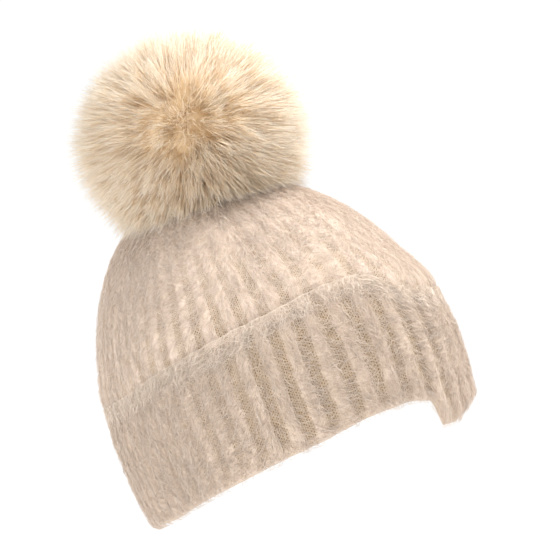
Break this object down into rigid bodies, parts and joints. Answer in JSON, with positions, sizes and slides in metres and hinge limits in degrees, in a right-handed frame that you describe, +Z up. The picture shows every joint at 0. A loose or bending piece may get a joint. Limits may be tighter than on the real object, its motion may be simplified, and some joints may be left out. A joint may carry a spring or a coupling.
{
  "type": "pom pom beanie",
  "caption": "Rib-knit winter beanie with a deep turned-up cuff and a large detachable fur pom pom on a press stud.",
  "frame": {"origin": "centre of the head opening, level with the lowest point of the brim", "axes": "+Z up the crown axis to the pom pom, -Y to the front of the hat, +X to the wearer's left"},
  "size_m": [0.1748, 0.1994, 0.2347],
  "materials": {
    "knit_body": "fuzzy brushed rib knit",
    "knit_cuff": "brushed rib knit",
    "seam_yarn": "yarn",
    "felt": "felt",
    "thread": "thread",
    "label_ribbon": "woven satin ribbon",
    "press_stud_metal": "nickel plated",
    "spring_wire": "drawn wire",
    "disc_plastic": "matte",
    "pelt_leather": "suede",
    "stuffing": "fibre fill",
    "pom_fur": "long soft fur"
  },
  "bodies": {
    "hat": {"knit_body": "knit_body", "turn_up_cuff": "knit_cuff", "back_seam": "seam_yarn", "crown_gather": "seam_yarn", "crown_backing": "felt", "backing_stitches": "thread", "snap_stud": "press_stud_metal", "stud_cap": "press_stud_metal"},
    "label": {"care_label": "label_ribbon"},
    "spring": {"socket_spring": "spring_wire"},
    "socket": {"snap_socket": "press_stud_metal", "pom_base_disc": "disc_plastic", "socket_cap": "press_stud_metal"},
    "pom": {"pelt_draw_cord": "thread", "pom_pelt": "pelt_leather", "pom_core": "stuffing", "pom_fur": "pom_fur"}
  },
  "joints": [
    {"name": "label_flap", "type": "hinge", "parent": "hat", "child": "label", "pos_m": [0, 0.0878, 0.062], "axis": [0, 0, -1], "range_deg": [0, 150]},
    {"name": "pom_lift", "type": "slide", "parent": "hat", "child": "spring", "axis": [0, 0, 1], "range_m": [0, 0.12]},
    {"name": "pom_spin", "type": "hinge", "parent": "spring", "child": "socket", "pos_m": [0, 0.006, 0.15], "axis": [0, 0, 1], "continuous": true},
    {"name": "pom_tilt", "type": "hinge", "parent": "socket", "child": "pom", "pos_m": [0, 0.006, 0.155], "axis": [1, 0, 0], "range_deg": [-6, 6], "stiffness_Nm_per_rad": 0.5}
  ]
}
